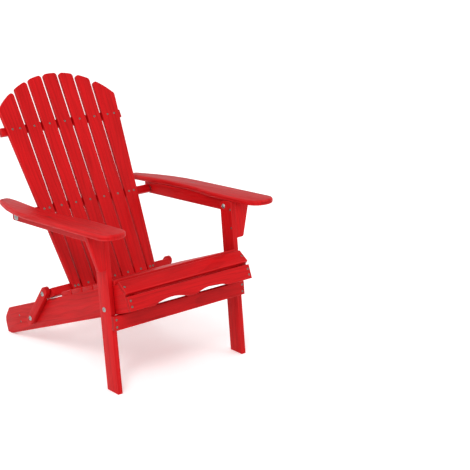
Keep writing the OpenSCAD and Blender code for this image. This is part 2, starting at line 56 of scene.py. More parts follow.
OVERHANG, FLARE, INSET_FRONT, INSET_REAR, HOLLOW, TAIL_W = 83, 4, 20, 16, 21, 38
ARM_FRONT, ARM_REAR, ARM_CURVE, HOLLOW_AT, HOLLOW_RUN = 178, 112, 700, 60, 155
BRACKET_H, BRACKET_TOP, BRACKET_FOOT = 132, 66, 28
LEG_PIVOT_BACK, LEG_PIVOT_UP, LEG_PIVOT_IN, ARM_PIVOT_UP = 108, 25, 36, 538
LINK_AT, LINK_UP, BACK_PIVOT_UP, BACK_PIVOT_IN = 204, 43, 21, 37
MID_PIVOT_UP, MID_PIVOT_IN, ARM_LINE_UP, REST_AT = 12, 9, 6, 320.5
BOLT_R, HEAD_R, SIDE_GAP, DRIFT_R, DRIFT_UP, DRIFT_BACK = 4, 9, 1.5, 12.2, 2, 6.5
SCREW_R, SHANK_R, SCREW_LEN, ARM_BITE, REST = 4, 2, 30, 14, 0.3
NUT_H, WASHER_T, DOME_H, BOLT_DEPTH = 6.5, SIDE_GAP - REST, 4.5, 40
SIDES = (1, -1)
HAND = {1: "left", -1: "right"}
SEAT_SLATS, BACK_SLATS = 5, 7
# Outline details: radii, and places measured from the nearest named point
RAIL_TOP_START, RAIL_TAIL, RAIL_TAIL_SHARE, RAIL_RADII = 24, 22, 0.65, [0, 0, 0, 0, 10, 42, 4]
ARM_RAIL_TAIL, ARM_RAIL_TOE, ARM_CORNER_BACK = 26, 8, 62
HOLLOW_END, HOLLOW_DEEP, HOLLOW_R, TAIL_R = 50, 100, 600, 17
ARM_NOSE_IN_R, ARM_NOSE_OUT_R, BRACKET_R = 51.5, 47.3, 8
# Edge easing of each kind of board, and the play shown round a bolt
EASE, EASE_STRONG, EASE_SEAT, EASE_ARM = 1.6, 2.0, 2.2, 6.5
BOLT_PLAY = 0.3


def sin(a):
    return math.sin(math.radians(a))


def cos(a):
    return math.cos(math.radians(a))


def tan(a):
    return math.tan(math.radians(a))


X = Vector((1, 0, 0))
RAIL_ALONG = Vector((0, -cos(RAIL_SLOPE), sin(RAIL_SLOPE)))
RAIL_SQUARE = Vector((0, sin(RAIL_SLOPE), cos(RAIL_SLOPE)))
LEG_ALONG = Vector((0, sin(LEG_LEAN), cos(LEG_LEAN)))
LEG_SQUARE = Vector((0, cos(LEG_LEAN), -sin(LEG_LEAN)))
BACK_ALONG = Vector((0, sin(BACK_LEAN), cos(BACK_LEAN)))
BACK_SQUARE = Vector((0, cos(BACK_LEAN), -sin(BACK_LEAN)))
ARM_ALONG = Vector((0, cos(ARM_PITCH), -sin(ARM_PITCH)))
ARM_SQUARE = Vector((0, sin(ARM_PITCH), cos(ARM_PITCH)))
NOSE_DOWN = RAIL_ALONG * cos(NOSE_ANGLE) - RAIL_SQUARE * sin(NOSE_ANGLE)
NOSE_OUT = RAIL_ALONG * sin(NOSE_ANGLE) + RAIL_SQUARE * cos(NOSE_ANGLE)

RAIL_OUT = SEAT_W / 2
RAIL_IN = RAIL_OUT - BOARD_T
RAIL_MID = RAIL_OUT - BOARD_T / 2
LEG_IN = RAIL_OUT + SIDE_GAP
LEG_OUT = LEG_IN + BOARD_T
ARM_RAIL_IN = LEG_OUT + SIDE_GAP
ARM_RAIL_OUT = ARM_RAIL_IN + BOARD_T
ARM_UNDER = ARM_RAIL_H / 2
ARM_PIVOT_IN = BRACE_T + ARM_UNDER + 4

leg_pivot_at = RAIL_LEN - LEG_PIVOT_BACK
leg_pivot_z = leg_pivot_at * sin(RAIL_SLOPE) + LEG_PIVOT_UP * cos(RAIL_SLOPE)
leg_pivot_u = (leg_pivot_z + LEG_PIVOT_IN * sin(LEG_LEAN)) / cos(LEG_LEAN)
corner_y = (
    leg_pivot_u * sin(LEG_LEAN)
    + LEG_PIVOT_IN * cos(LEG_LEAN)
    + leg_pivot_at * cos(RAIL_SLOPE)
    - LEG_PIVOT_UP * sin(RAIL_SLOPE)
)
centre = Vector((0, 0, 0))


def on_leg(up, back):
    return centre + up * LEG_ALONG + back * LEG_SQUARE


def on_rail(along, up):
    return centre + Vector((0, corner_y, 0)) + along * RAIL_ALONG + up * RAIL_SQUARE


def on_back(up, back):
    foot = on_rail(REST_AT, RAIL_H + REST) - (SLAT_T + LOW_T) * BACK_SQUARE
    return foot + up * BACK_ALONG + back * BACK_SQUARE


def on_arm(along, up):
    return on_leg(ARM_PIVOT_UP, ARM_PIVOT_IN) + along * ARM_ALONG + up * ARM_SQUARE


front_y = on_arm(-ARM_FRONT, ARM_UNDER).y
rear_y = on_back(BACK_LEN, SLAT_T).y
centre = Vector((0, -(front_y + rear_y) / 2, 0))

leg_bolt = on_leg(leg_pivot_u, LEG_PIVOT_IN)
arm_bolt = on_arm(0, 0)
link_bolt = on_rail(LINK_AT, LINK_UP)
back_bolt = on_back(BACK_PIVOT_UP, SLAT_T + BACK_PIVOT_IN)
mid_rise = (arm_bolt - on_back(0, SLAT_T + MID_PIVOT_IN)).dot(ARM_SQUARE) - ARM_LINE_UP
mid_up = mid_rise / BACK_ALONG.dot(ARM_SQUARE)
mid_bolt = on_back(mid_up, SLAT_T + MID_PIVOT_IN)
MID_AT = mid_up - MID_PIVOT_UP
UPPER_AT = BACK_LEN - UPPER_DROP
mid_along = (mid_bolt - arm_bolt).dot(ARM_ALONG)
link_dir = (back_bolt - link_bolt).normalized()
link_len = (back_bolt - link_bolt).length
link_side = Vector((0, -link_dir.z, link_dir.y))
under_tilt = LEG_LEAN - ARM_PITCH
NOSE_TOP = RAIL_LEN - NOSE_SET
SLAT_W = (NOSE_TOP - NOSE_GAP - SEAT_START - (SEAT_SLATS - 1) * SEAT_GAP) / SEAT_SLATS
STRETCHER_TOP = (corner_y * sin(RAIL_SLOPE) - REST) / cos(RAIL_SLOPE - LEG_LEAN)


def under_arm(back):
    return ARM_PIVOT_UP + ARM_UNDER / cos(under_tilt) + (back - ARM_PIVOT_IN) * tan(under_tilt) - REST


BRACKET_AT = under_arm(0) - BRACKET_H


# Outlines
def rounded(points, radii, per_turn=28):
    """Points of an outline with each corner rounded to its own radius."""
    out = []
    count = len(points)
    for i, (p, r) in enumerate(zip(points, radii)):
        b = Vector(p)
        if not r:
            out.append(b)
            continue
        u = (Vector(points[i - 1]) - b).normalized()
        v = (Vector(points[(i + 1) % count]) - b).normalized()
        half = u.angle(v) / 2
        hub = b + (u + v).normalized() * (r / math.sin(half))
        p0 = b + u * (r / math.tan(half)) - hub
        p1 = b + v * (r / math.tan(half)) - hub
        a0 = math.atan2(p0.y, p0.x)
        sweep = math.atan2(p1.y, p1.x) - a0
        sweep = (sweep + math.pi) % (2 * math.pi) - math.pi
        steps = max(4, round(per_turn * abs(sweep) / (math.pi / 2) * (1 if r < 60 else 2) / 4))
        for k in range(steps + 1):
            a = a0 + sweep * k / steps
            out.append(hub + Vector((math.cos(a), math.sin(a))) * r)
    return out


def area(points):
    return sum(a.x * b.y - b.x * a.y for a, b in zip(points, points[1:] + points[:1])) / 2


# Materials
def nodes_of(name):
    mat = bpy.data.materials.new(name)
    mat.use_nodes = True
    tree = mat.node_tree
    return mat, tree, tree.nodes["Principled BSDF"]


def node(tree, kind, **values):
    n = tree.nodes.new(kind)
    for key, value in values.items():
        if key in n.inputs:
            n.inputs[key].default_value = value
        else:
            setattr(n, key, value)
    return n


def scaled(tree, source, scale, offset=(0, 0, 0)):
    n = node(tree, "ShaderNodeMapping", vector_type="POINT")
    n.inputs["Scale"].default_value = scale
    n.inputs["Location"].default_value = offset
    tree.links.new(source, n.inputs["Vector"])
    return n.outputs["Vector"]


def ramp(tree, source, stops):
    n = tree.nodes.new("ShaderNodeValToRGB")
    while len(n.color_ramp.elements) < len(stops):
        n.color_ramp.elements.new(0.5)
    for e, (pos, value) in zip(n.color_ramp.elements, stops):
        e.position = pos
        e.color = (value, value, value, 1) if isinstance(value, (int, float)) else (*value, 1)
    tree.links.new(source, n.inputs["Fac"])
    return n.outputs["Color"]


def mixed(tree, mode, factor, a, b):
    n = tree.nodes.new("ShaderNodeMix")
    n.data_type = "RGBA"
    n.blend_type = mode
    for socket, value in ((n.inputs[0], factor), (n.inputs[6], a), (n.inputs[7], b)):
        if hasattr(value, "links"):
            tree.links.new(value, socket)
        else:
            socket.default_value = value
    return n.outputs[2]


def maths(tree, op, a, b=0.0, clamp=False):
    n = tree.nodes.new("ShaderNodeMath")
    n.operation = op
    n.use_clamp = clamp
    for socket, value in ((n.inputs[0], a), (n.inputs[1], b)):
        if hasattr(value, "links"):
            tree.links.new(value, socket)
        else:
            socket.default_value = value
    return n.outputs[0]


def plus(tree, a, b, clamp=False):
    return maths(tree, "ADD", a, b, clamp)


def times(tree, a, b):
    return maths(tree, "MULTIPLY", a, b)


def attribute(tree, name):
    n = tree.nodes.new("ShaderNodeAttribute")
    n.attribute_name = name
    return n


STAIN = (0.540, 0.004, 0.006)
STAIN_DEEP = (0.200, 0.001, 0.0015)
# paler red for the eased edges: rubbed stain and a painted highlight
EDGE_WEAR_AND_HIGHLIGHT_RED = (0.640, 0.026, 0.028)
KNOT = (0.090, 0.006, 0.004)


def stained_wood():
    mat, tree, shader = nodes_of("stained_softwood")
    grain = attribute(tree, "grain").outputs["Vector"]
    # long fibres
    fibres = node(tree, "ShaderNodeTexNoise", Scale=1.0, Detail=6.0, Roughness=0.62)
    tree.links.new(scaled(tree, grain, (9, 420, 420)), fibres.inputs["Vector"])
    # growth rings drawn out along the board
    wander = node(tree, "ShaderNodeTexNoise", Scale=1.0, Detail=2.0)
    tree.links.new(scaled(tree, grain, (2.2, 9, 9)), wander.inputs["Vector"])
    bent = node(tree, "ShaderNodeVectorMath", operation="MULTIPLY_ADD")
    tree.links.new(wander.outputs["Color"], bent.inputs[0])
    bent.inputs[1].default_value = (0.0, 0.075, 0.075)
    tree.links.new(grain, bent.inputs[2])
    rings = node(tree, "ShaderNodeTexWave", Scale=1.0, Distortion=1.6, Detail=2.0)
    rings.wave_type = "RINGS"
    rings.rings_direction = "X"
    rings.wave_profile = "SAW"
    tree.links.new(scaled(tree, bent.outputs[0], (1, 24, 24)), rings.inputs["Vector"])
    # uneven take-up of the stain
    cloud = node(tree, "ShaderNodeTexNoise", Scale=1.0, Detail=3.0, Roughness=0.55)
    tree.links.new(scaled(tree, grain, (5, 26, 26), (3, 1, 7)), cloud.inputs["Vector"])
    # scattered knots
    knots = node(tree, "ShaderNodeTexVoronoi", Scale=1.0, Randomness=1.0)
    tree.links.new(scaled(tree, grain, (4.2, 17, 9)), knots.inputs["Vector"])
    chance = node(tree, "ShaderNodeSeparateColor")
    tree.links.new(knots.outputs["Color"], chance.inputs[0])
    picked = maths(tree, "GREATER_THAN", chance.outputs[0], 0.60)
    heart = ramp(tree, knots.outputs["Distance"],
                 [(0.0, 1.0), (0.055, 0.85), (0.075, 0.25), (0.16, 0.0)])
    knot = times(tree, heart, picked)

    ring_dark = ramp(tree, rings.outputs["Fac"], [(0.0, 0.0), (0.55, 0.1), (0.9, 0.75), (1.0, 0.2)])
    fibre_dark = ramp(tree, fibres.outputs["Fac"], [(0.40, 0.0), (0.72, 1.0)])
    dark = plus(tree, times(tree, ring_dark, 0.30), times(tree, fibre_dark, 0.34))
    cloudy = ramp(tree, cloud.outputs["Fac"], [(0.35, 0.0), (0.70, 1.0)])
    dark = plus(tree, dark, times(tree, cloudy, 0.22))
    dark = plus(tree, dark, attribute(tree, "tone").outputs["Fac"])
    dark = plus(tree, dark, times(tree, attribute(tree, "end_grain").outputs["Fac"], 0.22), clamp=True)
    colour = mixed(tree, "MIX", dark, (*STAIN, 1), (*STAIN_DEEP, 1))
    colour = mixed(tree, "MIX", times(tree, knot, 0.80), colour, (*KNOT, 1))
    # paler red on the eased edges: partly rubbed, thinner stain, partly a painted highlight along the edges
    edge_wear_and_highlight = ramp(tree, cloud.outputs["Fac"], [(0.38, 0.15), (0.62, 0.75)])
    edge_wear_and_highlight = times(tree, attribute(tree, "edge").outputs["Fac"], edge_wear_and_highlight)
    colour = mixed(tree, "MIX", times(tree, edge_wear_and_highlight, 0.6), colour, (*EDGE_WEAR_AND_HIGHLIGHT_RED, 1))
    tree.links.new(colour, shader.inputs["Base Color"])
    rough = plus(tree, times(tree, fibres.outputs["Fac"], 0.22), 0.36)
    rough = plus(tree, rough, times(tree, knot, -0.10))
    tree.links.new(rough, shader.inputs["Roughness"])
    shader.inputs["Specular IOR Level"].default_value = 0.09
    height = plus(tree, times(tree, fibres.outputs["Fac"], 0.75), times(tree, ring_dark, 0.35))
    height = maths(tree, "SUBTRACT", height, times(tree, knot, 0.5))
    bump = node(tree, "ShaderNodeBump", Strength=0.35, Distance=0.0006)
    tree.links.new(height, bump.inputs["Height"])
    tree.links.new(bump.outputs["Normal"], shader.inputs["Normal"])
    return mat


def steel(name, colour, tarnish, rough, scale):
    mat, tree, shader = nodes_of(name)
    place = node(tree, "ShaderNodeTexCoord").outputs["Object"]
    spots = node(tree, "ShaderNodeTexNoise", Scale=scale, Detail=5.0, Roughness=0.6)
    tree.links.new(place, spots.inputs["Vector"])
    grey = ramp(tree, spots.outputs["Fac"], [(0.42, 0.0), (0.66, 1.0)])
    tree.links.new(mixed(tree, "MIX", grey, (*colour, 1), (*tarnish, 1)), shader.inputs["Base Color"])
    shader.inputs["Metallic"].default_value = 1.0
    tree.links.new(plus(tree, times(tree, grey, 0.25), rough), shader.inputs["Roughness"])
    bump = node(tree, "ShaderNodeBump", Strength=0.2, Distance=0.0002)
    tree.links.new(spots.outputs["Fac"], bump.inputs["Height"])
    tree.links.new(bump.outputs["Normal"], shader.inputs["Normal"])
    return mat


WOOD = stained_wood()
ZINC = steel("bright_zinc", (0.40, 0.40, 0.39), (0.20, 0.20, 0.19), 0.30, 320)
DULL = steel("dull_zinc", (0.22, 0.225, 0.20), (0.11, 0.11, 0.095), 0.48, 700)


# Pieces
def finish_mesh(bm, name, matrix, mats, smooth=True):
    mesh = bpy.data.meshes.new(name)
    bm.to_mesh(mesh)
    bm.free()
    obj = bpy.data.objects.new(name, mesh)
    bpy.context.collection.objects.link(obj)
    obj.matrix_world = matrix
    for m in mats:
        mesh.materials.append(m)
    for p in mesh.polygons:
        p.use_smooth = smooth
    return obj


def axes(origin, ex, ey, ez):
    m = Matrix.Identity(4)
    for i, v in enumerate((ex, ey, ez)):
        m.col[i][:3] = v
    m.col[3][:3] = origin * MM
    return m


def pin_mesh(bm, point, direction, radius, depth, above=1.0, sides=24):
    """A cylinder from above the point down along -direction, for cutting."""
    turn = direction.to_track_quat("Z", "Y").to_matrix().to_4x4()
    length = depth + above
    place = Matrix.Translation((point + direction * ((above - depth) / 2)) * MM) @ turn
    bmesh.ops.create_cone(bm, cap_ends=True, segments=sides, radius1=radius * MM, radius2=radius * MM,
                          depth=length * MM, matrix=place)


def cut(obj, pins):
    if not pins:
        return
    bm = bmesh.new()
    for pin in pins:
        pin_mesh(bm, *pin)
    tool = finish_mesh(bm, "cutter", Matrix.Identity(4), [])
    mod = obj.modifiers.new("holes", "BOOLEAN")
    mod.operation = "DIFFERENCE"
    mod.solver = "EXACT"
    mod.object = tool
    bpy.context.view_layer.update()
    done = bpy.data.meshes.new_from_object(obj.evaluated_get(bpy.context.evaluated_depsgraph_get()))
    obj.modifiers.clear()
    obj.data = done
    bpy.data.objects.remove(tool)


def paint(obj, grain_turn, tone):
    """The attributes that the wood material reads: place in the board, tone and end grain (the edge mask is
    set in board).
    """
    mesh = obj.data
    seat = Vector((rng.uniform(0, 9), rng.uniform(-0.02, 0.02), rng.uniform(-0.035, 0.035)))
    turn = Matrix.Rotation(grain_turn, 3, "Z")
    layer = mesh.attributes.new("grain", "FLOAT_VECTOR", "POINT")
    flat = []
    for v in mesh.vertices:
        flat.extend(turn @ v.co + seat)
    layer.data.foreach_set("vector", flat)
    tones = mesh.attributes.new("tone", "FLOAT", "POINT")
    tones.data.foreach_set("value", [tone] * len(mesh.vertices))
    ends = mesh.attributes.new("end_grain", "FLOAT", "FACE")
    ends.data.foreach_set("value", [1.0 if abs((turn @ p.normal).x) > 0.85 else 0.0 for p in mesh.polygons])


def board(name, outline, depth, origin, ex, ey, ez, body, slot, ease=EASE, pins=(), grain_turn=0.0):
    """A board cut to an outline, with eased edges. The outline's first axis is the grain."""
    points = [Vector(p) for p in outline]
    if area(points) < 0:
        points.reverse()
    bm = bmesh.new()
    low = [bm.verts.new((p.x * MM, p.y * MM, 0)) for p in points]
    high = [bm.verts.new((p.x * MM, p.y * MM, depth * MM)) for p in points]
    bm.faces.new(list(reversed(low)))
    bm.faces.new(high)
    count = len(points)
    for i in range(count):
        j = (i + 1) % count
        bm.faces.new((low[i], low[j], high[j], high[i]))
    bm.normal_update()
    edges = [e for e in bm.edges if e.calc_face_angle(0) > math.radians(32)]
    # bevel faces are marked here; the wood material paints them paler, as rubbed stain and a painted
    # highlight
    layer = bm.faces.layers.float.new("edge")
    made = bmesh.ops.bevel(bm, geom=edges, offset=ease * MM, offset_type="OFFSET", segments=3, profile=0.5,
                           affect="EDGES", clamp_overlap=True)
    for f in made["faces"]:
        f[layer] = 1.0
    obj = finish_mesh(bm, name, axes(origin, ex, ey, ez), [WOOD])
    cut(obj, pins)
    paint(obj, grain_turn, rng.uniform(-0.05, 0.11))
    for p in obj.data.polygons:
        p.use_smooth = True
    obj.data.set_sharp_from_angle(angle=math.radians(38))
    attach(obj, body)
    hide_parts(name[:-6])
    return obj


SINK_PLAY, SINK_DEPTH = 0.45, 1.3


def sunk(points):
    """Countersinks for screws, as (point, outward direction)."""
    return [(p, n, SCREW_R + SINK_PLAY, SINK_DEPTH, 2.0, 24) for p, n in points]


THROUGH = 400


def hole(point, radius):
    """A bore right across the chair."""
    return (point, X, radius, THROUGH, THROUGH, 40)


def side_board(name, outline, x_low, thick, origin, ex, ey, side, body, slot, **more):
    """A board that stands in the side view, between x_low and x_low + thick on one side."""
    ez = ex.cross(ey)
    a, b = sorted((side * x_low, side * (x_low + thick)))
    x = a if ez.x > 0 else b
    return board(name, outline, thick, Vector((x, origin.y, origin.z)), ex, ey, ez, body, slot, **more)


def box_outline(a0, a1, b0, b1):
    return [(a0, b0), (a1, b0), (a1, b1), (a0, b1)]


def at_x(point, x):
    return Vector((x, point.y, point.z))


# Places of the screws, as (point, outward direction)
def slat_at(i):
    return SEAT_START + (i - 1) * (SLAT_W + SEAT_GAP)


def screws_on(point, x, direction, sides=SIDES):
    return [(at_x(point, s * x), direction) for s in sides]


def slat_middle(i):
    return on_rail(slat_at(i) + SLAT_W / 2, RAIL_H + SLAT_T)


slat_screws = {i: screws_on(slat_middle(i), RAIL_MID, RAIL_SQUARE) for i in range(1, SEAT_SLATS + 1)}
nose_middle = on_rail(NOSE_TOP, RAIL_H) + NOSE_W / 2 * NOSE_DOWN + SLAT_T * NOSE_OUT
nose_screws = screws_on(nose_middle, RAIL_MID, NOSE_OUT)
apron_screws = [
    (at_x(on_rail(RAIL_LEN + SLAT_T, k * APRON_H), s * RAIL_MID), RAIL_ALONG)
    for s in SIDES for k in (0.3, 0.7)]
rear_screws = {s: [
    (at_x(on_rail(REAR_AT, RAIL_H / 2 + k * REAR_H), s * RAIL_OUT), X * s)
    for k in (-0.2, 0.2)] for s in SIDES}
stretcher_screws = [
    (at_x(on_leg(STRETCHER_TOP - k * STRETCHER_H, -BRACE_T), s * (LEG_IN + BOARD_T / 2)), -LEG_SQUARE)
    for s in SIDES for k in (0.25, 0.75)]
bracket_screws = {s: [
    (at_x(on_leg(BRACKET_AT + k * BRACKET_H, BRACE_T / 2), s * LEG_IN), -X * s)
    for k in (0.28, 0.78)] for s in SIDES}
arm_screw_x = (ARM_RAIL_IN + ARM_RAIL_OUT) / 2
arm_screws = {s: [
    (at_x(on_arm(k * mid_along, ARM_UNDER + ARM_BITE - SCREW_LEN), s * arm_screw_x), -ARM_SQUARE)
    for k in (0.15, 0.5, 0.85)] for s in SIDES}


# Back fan
def arc_up(x):
    return BACK_LEN - TOP_ARC + math.sqrt(TOP_ARC**2 - x * x)


FAN_UP = arc_up(TOP_HALF)


def fan(foot, top, up):
    return foot + (top - foot) * up / FAN_UP


def inner_w(up):
    return fan(FOOT_W, TOP_W, up)


def gap(up):
    return fan(GAP_FOOT, GAP_TOP, up)


def inner_edge(up):
    return (BACK_SLATS / 2 - 1) * (inner_w(up) + gap(up)) + gap(up) / 2


def edges_of(i, up):
    if i in (1, BACK_SLATS):
        s = -1 if i == 1 else 1
        return sorted((s * inner_edge(up), s * fan(FOOT_HALF, TOP_HALF, up)))
    mid = (i - (BACK_SLATS + 1) / 2) * (inner_w(up) + gap(up))
    return [mid - inner_w(up) / 2, mid + inner_w(up) / 2]


def top_edge(i, side):
    x = edges_of(i, FAN_UP)[side]
    for _ in range(4):
        x = edges_of(i, arc_up(x))[side]
    return x


ROWS = (LOW_H / 2, MID_AT + BAR_H / 2, UPPER_AT + BAR_H / 2)


def back_screws(i):
    out = []
    for up in ROWS:
        lo, hi = edges_of(i, up)
        for k in (0.3, 0.7) if i in (1, BACK_SLATS) else (0.5,):
            out.append((at_x(on_back(up, 0), lo + k * (hi - lo)), -BACK_SQUARE))
    return out


# Wooden pieces
for s in SIDES:
    hand = HAND[s]
    rail_outline = rounded(
        [(0, 0), (RAIL_LEN, 0), (RAIL_LEN, RAIL_H - NOSE_SET * tan(NOSE_ANGLE)), (NOSE_TOP, RAIL_H),
         (RAIL_TOP_START, RAIL_H), (-RAIL_TAIL, RAIL_TAIL_SHARE * RAIL_H),
         (-HEEL * cos(RAIL_SLOPE), HEEL * sin(RAIL_SLOPE))],
        RAIL_RADII)
    side_board(f"rail_{hand}_board", rail_outline, RAIL_IN, BOARD_T, on_rail(0, 0), RAIL_ALONG, RAIL_SQUARE,
               s, "seat_frame", "rail_wood", pins=sunk(rear_screws[s]) + [hole(leg_bolt, BOLT_R + BOLT_PLAY)])

    ear = ARM_UNDER - 4
    leg_outline = rounded(
        [(0, 0), (LEG_W * tan(LEG_LEAN), LEG_W), (ARM_PIVOT_UP - 1, LEG_W),
         (ARM_PIVOT_UP + ear, ARM_PIVOT_IN + ear), (ARM_PIVOT_UP + ear, ARM_PIVOT_IN),
         (under_arm(ARM_PIVOT_IN), ARM_PIVOT_IN), (under_arm(0), 0)],
        [0, 0, 0, ear * 0.9, 0, 0, 0])
    side_board(f"leg_{hand}_board", leg_outline, LEG_IN, BOARD_T, on_leg(0, 0), LEG_ALONG, LEG_SQUARE,
               s, "front_legs", "leg_wood", ease=EASE_STRONG, pins=sunk(bracket_screws[s]))

    a0, a1 = -ARM_UNDER, mid_along + ARM_RAIL_TAIL
    drift_hole = mid_bolt + DRIFT_BACK * ARM_ALONG + DRIFT_UP * ARM_SQUARE
    side_board(f"arm_rail_{hand}_board",
               rounded([(a0, -ARM_UNDER), (a1, -ARM_UNDER), (a1, ARM_UNDER), (a0, ARM_UNDER)],
                       [ARM_UNDER - 0.5, ARM_RAIL_TOE, 0, ARM_UNDER - 0.5]),
               ARM_RAIL_IN, BOARD_T, on_arm(0, 0), ARM_ALONG, ARM_SQUARE, s, f"arm_{hand}", "arm_wood",
               pins=[hole(arm_bolt, BOLT_R + BOLT_PLAY), hole(drift_hole, DRIFT_R)]
               + [(p, n, SCREW_R + 0.2, 0.2, 40, 20) for p, n in arm_screws[s]])

    front_x, rear_x = LEG_OUT - INSET_FRONT, LEG_OUT - INSET_REAR
    profile = [
        (-ARM_FRONT, front_x),
        (-ARM_FRONT, LEG_OUT + OVERHANG),
        (mid_along - ARM_CORNER_BACK, LEG_OUT + OVERHANG + FLARE),
        (mid_along + ARM_REAR, rear_x + TAIL_W),
        (mid_along + ARM_REAR, rear_x),
        (mid_along + HOLLOW_END, rear_x),
        (mid_along - HOLLOW_DEEP, front_x + HOLLOW),
        (HOLLOW_AT + HOLLOW_RUN, front_x + HOLLOW),
        (HOLLOW_AT, front_x)]
    profile = rounded([(a, -s * x) for a, x in profile],
                      [ARM_NOSE_IN_R, ARM_NOSE_OUT_R, ARM_CURVE, TAIL_R, TAIL_R] + [HOLLOW_R] * 4)
    board(f"arm_board_{hand}_board", profile, ARM_T, on_arm(0, ARM_UNDER), ARM_ALONG, -X, ARM_SQUARE,
          f"arm_{hand}", "arm_wood", ease=EASE_ARM)

    link_outline = rounded(
        box_outline(-LINK_END, link_len + LINK_END, -LINK_W / 2, LINK_W / 2), [LINK_W / 2 - 0.5] * 4)
    side_board(f"link_{hand}_board", link_outline, LEG_IN, BOARD_T, link_bolt, link_dir, link_side, s,
               f"link_{hand}", "link_wood",
               pins=[hole(link_bolt, BOLT_R + BOLT_PLAY), hole(back_bolt, BOLT_R + BOLT_PLAY)])

    bracket = [(0, LEG_OUT), (0, LEG_OUT + BRACKET_FOOT), (BRACKET_H, LEG_OUT + BRACKET_TOP),
               (BRACKET_H, LEG_OUT)]
    bracket = rounded([(u, s * x) for u, x in bracket], [0, BRACKET_R, 0, 0])
    board(f"arm_bracket_{hand}_board", bracket, BRACE_T, on_leg(BRACKET_AT, 0), LEG_ALONG, X, LEG_SQUARE,
          "front_legs", "bracket_wood")

for i in range(1, SEAT_SLATS + 1):
    board(f"seat_slat_{i}_board", box_outline(-RAIL_OUT, RAIL_OUT, -SLAT_W, 0), SLAT_T,
          on_rail(slat_at(i), RAIL_H), X, -RAIL_ALONG, RAIL_SQUARE, "seat_frame", "seat_wood",
          ease=EASE_SEAT, pins=sunk(slat_screws[i]))
board("nose_slat_board", box_outline(-RAIL_OUT, RAIL_OUT, -NOSE_W, 0), SLAT_T, on_rail(NOSE_TOP, RAIL_H),
      X, -NOSE_DOWN, NOSE_OUT, "seat_frame", "seat_wood", ease=EASE_SEAT, pins=sunk(nose_screws))

ARCH_STEPS = 28
arch_r = (ARCH_W**2 / 4 + ARCH_H**2) / (2 * ARCH_H)
apron = [(-RAIL_OUT, 0)]
for side in (-1, 1):
    mid = side * (ARCH_POINT + ARCH_W) / 2
    for k in range(ARCH_STEPS + 1):
        x = mid - ARCH_W / 2 + ARCH_W * k / ARCH_STEPS
        apron.append((x, max(0.0, ARCH_H - arch_r + math.sqrt(arch_r**2 - (x - mid) ** 2))))
apron += [(RAIL_OUT, 0), (RAIL_OUT, APRON_H), (-RAIL_OUT, APRON_H)]
board("front_apron_board", apron, SLAT_T, on_rail(RAIL_LEN, 0), X, RAIL_SQUARE, RAIL_ALONG,
      "seat_frame", "cross_wood", pins=sunk(apron_screws))
board("rear_stretcher_board", box_outline(-RAIL_IN, RAIL_IN, 0, REAR_H), BOARD_T,
      on_rail(REAR_AT - BOARD_T / 2, (RAIL_H - REAR_H) / 2), X, RAIL_SQUARE, RAIL_ALONG,
      "seat_frame", "cross_wood")
board("front_stretcher_board", box_outline(-LEG_OUT, LEG_OUT, -STRETCHER_H, 0), BRACE_T,
      on_leg(STRETCHER_TOP, 0), X, LEG_ALONG, -LEG_SQUARE,
      "front_legs", "cross_wood", pins=sunk(stretcher_screws))

for i in range(1, BACK_SLATS + 1):
    x0, x1 = top_edge(i, 0), top_edge(i, 1)
    lo, hi = edges_of(i, 0)
    shares = [0.7, 0.64, 0.57, 0.5, 0.43, 0.36, 0.3]
    tops = [(arc_up(x0 + k * (x1 - x0)), x0 + k * (x1 - x0)) for k in shares]
    outline = [(0, lo), (0, hi), (arc_up(x1), x1)] + tops + [(arc_up(x0), x0)]
    outline = rounded([(u, -x) for u, x in outline], [0, 0, SLAT_ROUND] + [0] * len(tops) + [SLAT_ROUND])
    lean = math.atan2((x0 + x1 - lo - hi) / 2, FAN_UP)
    board(f"back_slat_{i}_board", outline, SLAT_T, on_back(0, SLAT_T), BACK_ALONG, -X, -BACK_SQUARE,
          "back", "back_wood", ease=EASE_STRONG, pins=sunk(back_screws(i)), grain_turn=lean)


def back_bar(name, half, up, height, depth):
    board(name, box_outline(-half, half, 0, height), depth, on_back(up, SLAT_T + depth),
          X, BACK_ALONG, -BACK_SQUARE, "back", "bar_wood", ease=EASE_STRONG)


back_bar("lower_back_bar_board", RAIL_OUT, 0, LOW_H, LOW_T)
back_bar("middle_back_bar_board", LEG_OUT, MID_AT, BAR_H, BAR_T)
back_bar("upper_back_bar_board", fan(FOOT_HALF, TOP_HALF, UPPER_AT) + UPPER_OVER, UPPER_AT, BAR_H, BAR_T)


# Screws: a flat head with a cross recess, on a plain shank
def spoke(radius, angle, z):
    return (radius * math.cos(angle), radius * math.sin(angle), z)


def ring(bm, radius, z, sides):
    return [bm.verts.new(spoke(radius, 2 * math.pi * k / sides, z)) for k in range(sides)]


def bridge(bm, a, b):
    for k in range(len(a)):
        j = (k + 1) % len(a)
        bm.faces.new((a[k], a[j], b[j], b[k]))


HEAD_Z = -0.45


def stand(bm, before, point, direction, turn=0.0):
    """Place what was added to the mesh since before, with its Z along a direction, and scale it to metres."""
    mine = [v for v in bm.verts if v not in before]
    aim = direction.to_track_quat("Z", "Y").to_matrix().to_4x4()
    place = Matrix.Translation(point) @ aim @ Matrix.Rotation(turn, 4, "Z")
    bmesh.ops.transform(bm, matrix=place, verts=mine)
    bmesh.ops.scale(bm, vec=(MM, MM, MM), verts=mine)


